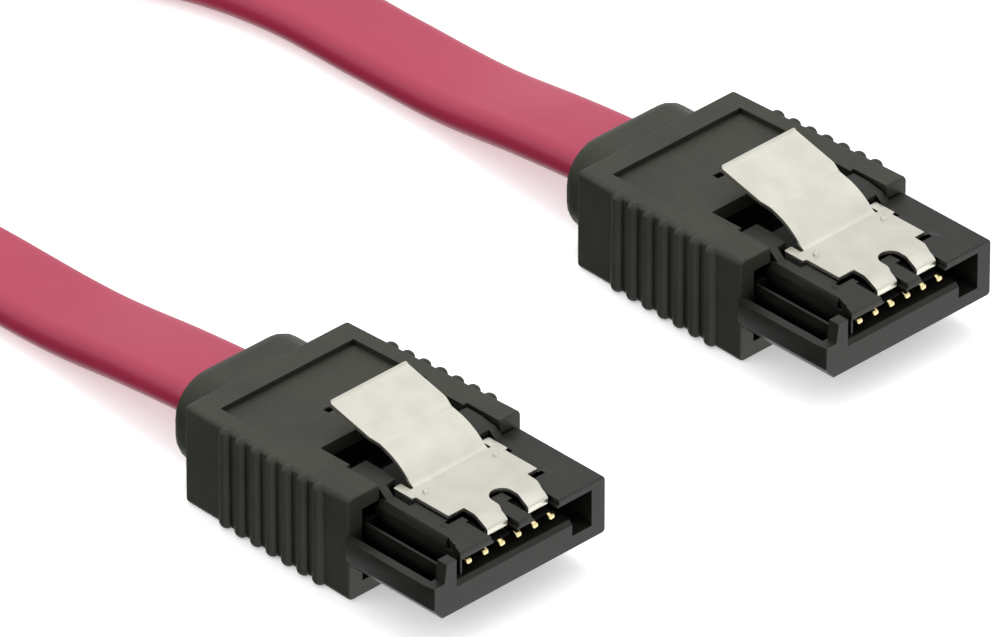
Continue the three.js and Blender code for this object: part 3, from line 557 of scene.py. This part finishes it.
# Painted shade: the slots are darkened to black by how enclosed they are, and their reflection is dimmed
# there too.
deep = add(tree, "ShaderNodeAmbientOcclusion", {"samples": 8, "Distance": 1.6 * MM})
open_to_light = add(tree, "ShaderNodeMapRange", {"From Min": 0.3, "From Max": 0.65},
                    {"Value": deep.outputs["AO"]})
painted_shade = add(tree, "ShaderNodeMix", {"data_type": "RGBA", 6: linear("020202")},
            {0: open_to_light.outputs["Result"], 7: prick.outputs[2]})
reflection_shade = add(tree, "ShaderNodeMix", {"data_type": "RGBA", 6: linear("101010"), 7: linear("ffffff")},
            {0: open_to_light.outputs["Result"]})
shader.inputs["Specular IOR Level"].default_value = 0.32
gloss = add(tree, "ShaderNodeMapRange", {"To Min": 0.3, "To Max": 0.44}, {"Value": flow.outputs["Fac"]})
relief = add(tree, "ShaderNodeBump", {"Strength": 0.2, "Distance": 0.01 * MM},
             {"Height": fibres.outputs["Fac"]})
wire(tree, shader, {
    "Base Color": painted_shade.outputs[2],
    "Specular Tint": reflection_shade.outputs[2],
    "Roughness": gloss.outputs["Result"],
    "Normal": relief.outputs["Normal"]})

# Under each foot of the clip the slot's roof is notched, and a thin web hangs over the contacts there.
HOUSING_EDGE = 0.07 * MM
WEB_EDGE = 0.03 * MM
WEB_PLACES = (-1.46, 1.64)
WEB_HALF = 0.84
WEB_NARROWS = 0.1
WEB_HEIGHTS = (5.1, 5.24)
WEB_DROOP = 0.06
WEB_REAR, WEB_FRONT = 5.8, 6.72
# The roof comes close up to the clip's wings and between its feet: each patch is x and y, low and high.
ROOF_PATCHES = ((1.75, 4.25, 3.85, 4.5), (4.56, 5.05, 3.05, 4.5), (4.2, 4.6, 4.08, 4.5),
                (1.75, 4.25, -3.8, -3.15), (4.56, 5.05, -3.8, -2.3), (4.2, 4.6, -3.8, -3.38),
                (4.3, 5.1, -0.02, 0.98))
PATCH_HEIGHTS = (5.45, 5.88)
# A pressed clip's feet need a little room over the roof, under their flared edges.
FOOT_RELIEFS = (((4.8, 2.6), (5.8, 2.6), (5.25, 2.95), (4.8, 2.99)),
                ((4.8, -0.5), (5.85, -0.5), (5.42, -0.26), (4.8, -0.23)))
RELIEF_HEIGHTS = (5.78, 6.1)

patches = lofted("roof_patches", [
    [[Vector((x, y, z)) * MM for x, y in ((x0, y0), (x1, y0), (x1, y1), (x0, y1))] for z in PATCH_HEIGHTS]
    for x0, x1, y0, y1 in ROOF_PATCHES])
reliefs = lofted("foot_reliefs", [
    [[Vector((x, y, z)) * MM for x, y in outline] for z in RELIEF_HEIGHTS] for outline in FOOT_RELIEFS])
web_plan = ((WEB_REAR, -WEB_HALF), (WEB_FRONT, -WEB_HALF + WEB_NARROWS),
            (WEB_FRONT, WEB_HALF - WEB_NARROWS), (WEB_REAR, WEB_HALF))
webs = lofted("slot_webs", [
    [[Vector((x, middle + y, z - WEB_DROOP * (x - WEB_REAR))) * MM for x, y in web_plan] for z in WEB_HEIGHTS]
    for middle in WEB_PLACES])

for tag, origin in PLUGS.items():
    patch_tool = tool_part("patch_tool", patches, origin)
    relief_tool = tool_part("relief_tool", reliefs, origin)
    piece = finished(f"housing_{tag}_fine", soft_edged(
        f"housing_{tag}_fine", cad_copy(f"housing_{tag}"), HOUSING_EDGE,
        ("BOOLEAN", {"operation": "UNION", "object": patch_tool, "solver": "EXACT", "use_self": True}),
        ("BOOLEAN", {"operation": "DIFFERENCE", "object": relief_tool, "solver": "EXACT"})), hard_black)
    bpy.data.objects.remove(patch_tool)
    bpy.data.objects.remove(relief_tool)
    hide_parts(f"housing_{tag}")
    # The webs take the inner mould's near-black finish: painted shade, so that the notch under each foot
    # reads black.
    web_mesh = soft_edged(f"slot_webs_{tag}", webs, WEB_EDGE)
    web_mesh.transform(Matrix.Translation(origin))
    piece = finished(f"slot_webs_{tag}", web_mesh, inner_black)

# The contacts: seven strips of gold-plated bronze, stamped and bent, pressed into grooves under the
# slot's ceiling. They bow down into the slot, and only their rounded tips catch the light.
CONTACT_COUNT = 7
CONTACT_PITCH = 1.27 * MM
CONTACTS_MIDDLE = -0.27 * MM
LAST_CONTACT_BACK = -0.7 * MM  # its tip doesn't show from the front
CONTACT_WIDTH = 0.4 * MM
CONTACT_THICKNESS = 0.2 * MM
CONTACT_EDGE = 0.04 * MM  # its small chamfers
TIP_LENGTH = 0.12 * MM
STRIP_STEPS = 240
# The strip's middle from the side, in mm: the tail, the rise over the inner mould, the bow and the tip
contact_line = [(-5.9, 3.2), (-1.5, 3.2), (-1.3, 3.22), (-0.6, 5.08), (-0.35, 5.1), (2.3, 5.1), (3.3, 5.05),
                (4.9, 4.8), (5.9, 4.82), (6.45, 4.98), (6.72, 5.02), (6.88, 4.94), (6.94, 4.76)]

gold, tree, shader = material("gold_plated_bronze")
# Gold flash over bronze: warm and glossy, with rolling lines along the strip 0.06 mm apart.
shader.inputs["Metallic"].default_value = 1
rolled = add(tree, "ShaderNodeMapping", {"Scale": (1 / (1.5 * MM), 1 / (0.06 * MM), 1 / (0.06 * MM))},
             {"Vector": add(tree, "ShaderNodeTexCoord").outputs["Object"]})
lines = add(tree, "ShaderNodeTexNoise", {"Scale": 1, "Detail": 2}, {"Vector": rolled.outputs[0]})
tone = add(tree, "ShaderNodeValToRGB", links={"Fac": lines.outputs["Fac"]})
tone.color_ramp.elements[0].color = linear("f0d990")
tone.color_ramp.elements[1].color = linear("fff2c4")
gloss = add(tree, "ShaderNodeMapRange", {"To Min": 0.16, "To Max": 0.3}, {"Value": lines.outputs["Fac"]})
wire(tree, shader, {"Base Color": tone.outputs["Color"], "Roughness": gloss.outputs["Result"]})

strip_path, strip_length = smooth_line([Vector((x, 0, z)) * MM for x, z in contact_line], STRIP_STEPS)
rings = []
for i, centre in enumerate(strip_path):
    ahead = (strip_path[min(i + 1, STRIP_STEPS)] - strip_path[max(i - 1, 0)]).normalized()
    rise = Vector((-ahead.z, 0, ahead.x))
    left = (1 - i / STRIP_STEPS) * strip_length / TIP_LENGTH
    narrow = math.sqrt(max(1 - max(1 - left, 0) ** 2, 0.1))
    wide, high = CONTACT_WIDTH / 2 * narrow, CONTACT_THICKNESS / 2 * (0.5 + 0.5 * narrow)
    outline = []
    for y, z in ((wide, -high), (wide, high), (-wide, high), (-wide, -high)):
        side, top = math.copysign(1, y), math.copysign(1, z)
        pair = [(y, z - top * CONTACT_EDGE), (y - side * CONTACT_EDGE * narrow, z)]
        outline += pair if side == top else pair[::-1]
    rings.append([centre + Vector((0, y, 0)) + rise * z for y, z in outline])
strip_mesh = lofted("contact_strip", [rings])

# The row: one strip at each pitch about the middle, the last one set further in.
row_tree = bpy.data.node_groups.new("contact_row", "GeometryNodeTree")
for name, kind in (("Strip", "Geometry"), ("Count", "Int"), ("Pitch", "Float"), ("Middle", "Float"),
                   ("Last Back", "Float"), ("Finish", "Material")):
    row_tree.interface.new_socket(name, in_out="INPUT", socket_type="NodeSocket" + kind)
row_tree.interface.new_socket("Contacts", in_out="OUTPUT", socket_type="NodeSocketGeometry")
given = add(row_tree, "NodeGroupInput").outputs
last = add(row_tree, "ShaderNodeMath", {"operation": "SUBTRACT", 1: 1.0}, {0: given["Count"]})
span = add(row_tree, "ShaderNodeMath", {"operation": "MULTIPLY"}, {0: last.outputs[0], 1: given["Pitch"]})
first = add(row_tree, "ShaderNodeMath", {"operation": "MULTIPLY_ADD", 1: -0.5},
            {0: span.outputs[0], 2: given["Middle"]})
places = add(row_tree, "GeometryNodeMeshLine", links={
    "Count": given["Count"],
    "Start Location": add(row_tree, "ShaderNodeCombineXYZ", links={"Y": first.outputs[0]}).outputs[0],
    "Offset": add(row_tree, "ShaderNodeCombineXYZ", links={"Y": given["Pitch"]}).outputs[0]})
is_last = add(row_tree, "ShaderNodeMath", {"operation": "COMPARE", 2: 0.1},
              {0: add(row_tree, "GeometryNodeInputIndex").outputs[0], 1: last.outputs[0]})
back_by = add(row_tree, "ShaderNodeMath", {"operation": "MULTIPLY"},
              {0: is_last.outputs[0], 1: given["Last Back"]})
moved = add(row_tree, "GeometryNodeSetPosition", links={
    "Geometry": places.outputs["Mesh"],
    "Offset": add(row_tree, "ShaderNodeCombineXYZ", links={"X": back_by.outputs[0]}).outputs[0]})
row = add(row_tree, "GeometryNodeInstanceOnPoints",
          links={"Points": moved.outputs["Geometry"], "Instance": given["Strip"]})
real = add(row_tree, "GeometryNodeRealizeInstances", links={"Geometry": row.outputs[0]})
coated = add(row_tree, "GeometryNodeSetMaterial",
             links={"Geometry": real.outputs[0], "Material": given["Finish"]})
add(row_tree, "NodeGroupOutput", links={"Contacts": coated.outputs[0]})

for tag, origin in PLUGS.items():
    contacts = worked(f"contacts_{tag}", strip_mesh, ("NODES", {
        "tree": row_tree, "Count": CONTACT_COUNT, "Pitch": CONTACT_PITCH, "Middle": CONTACTS_MIDDLE,
        "Last Back": LAST_CONTACT_BACK, "Finish": gold}))
    contacts.transform(Matrix.Translation(origin))
    piece = finished(f"contacts_{tag}", contacts, gold)
    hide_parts(*[f"contact_{i + 1}_{tag}" for i in range(CONTACT_COUNT)])

# The latch clip: spring steel strip, punched to its outline and bent. Its wings slide into slits beside
# the cheeks, its two feet hook over the nose, and a press on its rear end lets them go.
CLIP_MIDDLE = 0.35 * MM
CLIP_EDGE = 0.075 * MM
CLIP_THICKNESS = 0.26
PLATE_HEIGHT = 6.03
FORK_MIDDLE = (4.82, 0.15)
FORK_RADIUS = 0.74
WING_END, WING_INSIDE = 0.95, 3.0  # the wings stay level while the neck rises
# The strip's middle from the side, in mm: the neck down to the plate, and a foot's droop, bend and lip
neck_line = [(-5.8, 8.6), (-4.2, 8.2), (-2.6, 7.8), (-1.95, 7.58), (-0.9, 7.25), (-0.15, 6.83), (0.35, 6.42),
             (0.7, 6.1), (0.9, 6.03)]
foot_line = [(5.5, 6.03), (5.95, 5.98), (6.22, 5.9), (6.33, 5.84), (6.37, 5.76), (6.37, 5.54)]
neck, _ = smooth_line([Vector((x, 0, z)) for x, z in neck_line], 240)
foot, foot_length = smooth_line([Vector((x, 0, z)) for x, z in foot_line], 24)
FOOT_END = foot_line[0][0] + foot_length
side_line = [(p.x, p.x, max(p.z, PLATE_HEIGHT)) for p in neck[::6]]
side_line += [(foot_line[0][0] + foot_length * i / 24, p.x, p.z) for i, p in enumerate(foot)]
# Half of the outline from above, each corner with its radius; the two feet differ a little.
clip_half = [
    (-5.8, 2.95, 0.14), (-2.6, 2.95, 0.5), (-1.95, 2.75, 0.6), (0.9, 2.87, 0.07), (0.9, 3.09, 0.07),
    (0.1, 3.09, 0.07), (0.1, 3.68, 0.12), (1.6, 3.68, 0.08), (1.65, 3.42, 0.08), (4.25, 3.42, 0.07)]
right_foot = [(4.25, 2.62, 0.06), (5.1, 2.58, 0.8), (5.9, 2.2, 0.8), (FOOT_END, 2.04, 0.07),
              (FOOT_END, 0.54, 0.07), (6.0, 0.64, 0.8), (5.3, 0.88, 0.8)]
left_foot = [(5.4, -0.62, 0.8), (5.9, -0.92, 0.8), (FOOT_END, -1.06, 0.07), (FOOT_END, -2.6, 0.07),
             (6.0, -2.52, 0.8), (5.1, -2.26, 0.8), (4.25, -2.24, 0.06)]

steel, tree, shader = material("rolled_stainless_spring_strip")
# Cold-rolled stainless strip: a warm satin grey, with fine rolling lines along it and a faint cloud.
# The real lines are about 0.02 mm apart; here they are 0.08 mm, so that they show.
shader.inputs["Metallic"].default_value = 1
place = add(tree, "ShaderNodeTexCoord").outputs["Object"]
rolled = add(tree, "ShaderNodeMapping", {"Scale": (1 / (2.5 * MM), 1 / (0.08 * MM), 1 / (2.5 * MM))},
             {"Vector": place})
lines = add(tree, "ShaderNodeTexNoise", {"Scale": 1, "Detail": 3}, {"Vector": rolled.outputs[0]})
cloud = add(tree, "ShaderNodeTexNoise", {"Scale": 1 / (1.6 * MM), "Detail": 3}, {"Vector": place})
tone = add(tree, "ShaderNodeValToRGB", links={"Fac": cloud.outputs["Fac"]})
tone.color_ramp.elements[0].position = 0.3
tone.color_ramp.elements[0].color = linear("dad8cc")
tone.color_ramp.elements[1].position = 0.7
tone.color_ramp.elements[1].color = linear("e6e4d9")
gloss = add(tree, "ShaderNodeMapRange", {"To Min": 0.3, "To Max": 0.42}, {"Value": lines.outputs["Fac"]})
relief = add(tree, "ShaderNodeBump", {"Strength": 0.12, "Distance": 0.01 * MM},
             {"Height": lines.outputs["Fac"]})
wire(tree, shader, {
    "Base Color": tone.outputs["Color"],
    "Roughness": gloss.outputs["Result"],
    "Normal": relief.outputs["Normal"]})


def rounded_outline(points):
    """The closed outline with a small arc of its own radius at each corner."""
    line = []
    for i, (x, y, radius) in enumerate(points):
        corner = Vector((x, y))
        before = Vector(points[i - 1][:2]) - corner
        after = Vector(points[(i + 1) % len(points)][:2]) - corner
        half = before.angle(after) / 2
        reach = min(radius / math.tan(half), before.length * 0.45, after.length * 0.45)
        radius = reach * math.tan(half)
        if radius < 0.01 or half > 1.55:
            line.append(corner)
            continue
        before.normalize()
        after.normalize()
        centre = corner + (before + after).normalized() * (radius / math.sin(half))
        one, two = corner + before * reach - centre, corner + after * reach - centre
        line += [centre + one.lerp(two, k / 5).normalized() * radius for k in range(6)]
    return line


def clip_mesh():
    """The punched outline, cut across at each point of the side line, then bent along that line."""
    fork = [(FORK_MIDDLE[0] - FORK_RADIUS * math.sin(math.pi * i / 20),
             FORK_MIDDLE[1] + FORK_RADIUS * math.cos(math.pi * i / 20), 0) for i in range(21)]
    other_half = [(x, -y, r) for x, y, r in reversed(clip_half)]
    plan = rounded_outline(clip_half + right_foot + fork + left_foot + other_half)
    plate = bmesh.new()
    plate.faces.new([plate.verts.new((p.x, p.y, 0)) for p in plan])
    for x, _, _ in side_line[1:-1]:
        bmesh.ops.bisect_plane(plate, geom=plate.verts[:] + plate.edges[:] + plate.faces[:], dist=1e-4,
                               plane_co=(x, 0, 0), plane_no=(1, 0, 0))
    # Both faces of the strip at each point of its side line, half a thickness above and below
    surfaces = []
    for i, (_, x, z) in enumerate(side_line):
        here = Vector((x, z))
        before = here - Vector(side_line[max(i - 1, 0)][1:])
        after = Vector(side_line[min(i + 1, len(side_line) - 1)][1:]) - here
        into, out = (before or after).normalized(), (after or before).normalized()
        middle = (into + out).normalized()
        half = CLIP_THICKNESS / 2 / max(into.dot(middle), 0.5)
        surfaces.append([here + Vector((-middle.y, middle.x)) * half * side for side in (1, -1)])
    mesh = bmesh.new()
    sheets = ({}, {})
    for vert in plate.verts:
        x, y, _ = vert.co
        i = max((k for k, line in enumerate(side_line[:-1]) if line[0] <= x + 1e-4), default=0)
        start, end = side_line[i][0], side_line[i + 1][0]
        for sheet, side in zip(sheets, (0, 1)):
            spot = surfaces[i][side].lerp(surfaces[i + 1][side], (x - start) / (end - start))
            if x < WING_END and abs(y) > WING_INSIDE:
                spot = Vector((x, PLATE_HEIGHT + (0.5 - side) * CLIP_THICKNESS))
            sheet[vert] = mesh.verts.new(Vector((spot.x * MM, y * MM + CLIP_MIDDLE, spot.y * MM)))
    for face in plate.faces:
        mesh.faces.new([sheets[0][v] for v in face.verts])
        mesh.faces.new([sheets[1][v] for v in reversed(face.verts)])
    for edge in plate.edges:
        if edge.is_boundary:
            one, two = edge.verts
            mesh.faces.new((sheets[0][one], sheets[0][two], sheets[1][two], sheets[1][one]))
    bmesh.ops.dissolve_limit(mesh, angle_limit=math.radians(0.2), verts=mesh.verts, edges=mesh.edges)
    bmesh.ops.recalc_face_normals(mesh, faces=mesh.faces)
    made = bpy.data.meshes.new("clip")
    mesh.to_mesh(made)
    return made


# Two small punched barbs stand out of the plate: half a profile each, radius and height, turned round.
BARB_X, BARB_OUT = 1.68, 2.7
barb_profile = [(0.21, 5.98), (0.21, 6.14), (0.17, 6.26), (0.12, 6.34), (0.04, 6.38)]
barb_turns = [math.tau * i / 16 for i in range(16)]
barbs = lofted("barbs", [
    [[Vector((BARB_X + r * math.cos(t), CLIP_MIDDLE / MM + side * BARB_OUT + r * math.sin(t), z)) * MM
      for t in barb_turns] for r, z in barb_profile] for side in (-1, 1)])
strip = worked("clip", clip_mesh(), ("BEVEL", {
    "width": CLIP_EDGE, "segments": 3, "limit_method": "ANGLE", "angle_limit": math.radians(50),
    "use_clamp_overlap": True}))
mesh = bmesh.new()
mesh.from_mesh(strip)
mesh.from_mesh(barbs)
mesh.to_mesh(strip)
for face in strip.polygons:
    face.use_smooth = True
strip.set_sharp_from_angle(angle=math.radians(35))

for tag, origin in PLUGS.items():
    clip = worked(f"latch_clip_{tag}_fine", strip, ("WEIGHTED_NORMAL", {"keep_sharp": True}))
    clip.transform(Matrix.Translation(origin))
    piece = finished(f"latch_clip_{tag}_fine", clip, steel, f"latch_{tag}")
    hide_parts(f"latch_clip_{tag}")

# The tie: a flat black ribbon of PVC with a steel wire down its middle, bent round both runs of the
# cord and twisted together at one side.
TIE_X = -81.8
BAND_MIDDLE = 4.2
BAND_HALF_WIDTH, BAND_HALF_HEIGHT, BAND_CORNER = 2.8, 3.45, 0.5
TWIST_HEIGHT = 7.45
TWIST_START_Y, TWIST_LENGTH = 3.0, 9.3
TWIST_TURNS = 2.5
TWIST_RADIUS = 0.9
tie_black, tree, shader = material("coated_wire_tie")
# Soft PVC coating: black, a little glossy, with faint lines along the ribbon from its die.
place = add(tree, "ShaderNodeTexCoord").outputs["Object"]
lines = add(tree, "ShaderNodeTexNoise", {"Scale": 1, "Detail": 2}, {"Vector": add(
    tree, "ShaderNodeMapping", {"Scale": (1 / (0.15 * MM), 1 / (4 * MM), 1 / (4 * MM))},
    {"Vector": place}).outputs[0]})
tone = add(tree, "ShaderNodeValToRGB", links={"Fac": lines.outputs["Fac"]})
tone.color_ramp.elements[0].color = linear("181818")
tone.color_ramp.elements[1].color = linear("242424")
gloss = add(tree, "ShaderNodeMapRange", {"To Min": 0.38, "To Max": 0.52}, {"Value": lines.outputs["Fac"]})
relief = add(tree, "ShaderNodeBump", {"Strength": 0.3, "Distance": 0.02 * MM},
             {"Height": lines.outputs["Fac"]})
wire(tree, shader, {
    "Base Color": tone.outputs["Color"],
    "Roughness": gloss.outputs["Result"],
    "Normal": relief.outputs["Normal"]})

# The ribbon's section: thin at both edges, with the wire's round ridge in the middle
ribbon = [(-2.0, 0.08), (-1.96, 0.02), (1.96, 0.02), (2.0, 0.08), (2.0, 0.24), (1.9, 0.3), (0.75, 0.34),
          (0.5, 0.52), (0.25, 0.62), (0, 0.66), (-0.25, 0.62), (-0.5, 0.52), (-0.75, 0.34), (-1.9, 0.3),
          (-2.0, 0.24)]
rings = []
for k, (y_side, z_side) in enumerate(((1, 1), (-1, 1), (-1, -1), (1, -1))):
    corner = Vector((y_side * (BAND_HALF_WIDTH - BAND_CORNER), z_side * (BAND_HALF_HEIGHT - BAND_CORNER)))
    for i in range(9):
        angle = math.pi / 2 * (k + i / 8)
        outward = Vector((math.cos(angle), math.sin(angle)))
        spots = [(TIE_X + x, corner + outward * (BAND_CORNER + out)) for x, out in ribbon]
        rings.append([Vector((x, spot.x, BAND_MIDDLE + spot.y)) * MM for x, spot in spots])
band_mesh = lofted("tie_band", [rings], goes_round=True)

# The two ends are twisted together and cut off: two lobes that turn, thinner where they start and end
rings = []
for i in range(91):
    t = i / 90
    size = TWIST_RADIUS * math.sqrt(min(1, 0.3 + t * 8, 0.35 + (1 - t) * 14))
    ring = []
    for k in range(20):
        angle = math.tau * k / 20
        lobe = (0.5 + 0.5 * abs(math.cos(angle)) ** 1.5) * size
        turned = angle + math.tau * TWIST_TURNS * t
        ring.append(Vector((TIE_X + lobe * math.cos(turned), TWIST_START_Y + TWIST_LENGTH * t,
                            TWIST_HEIGHT + lobe * math.sin(turned))) * MM)
    rings.append(ring)
twist_mesh = lofted("tie_twist", [rings])
twist = tool_part("tie_twist", twist_mesh)
tie = worked("wire_tie", band_mesh, ("BOOLEAN", {"operation": "UNION", "object": twist, "solver": "EXACT"}))
bpy.data.objects.remove(twist)
for face in tie.polygons:
    face.use_smooth = True
tie.set_sharp_from_angle(angle=math.radians(45))
tie = finished("wire_tie", worked("wire_tie", tie, ("WEIGHTED_NORMAL", {"keep_sharp": True})), tie_black)
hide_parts("tie")
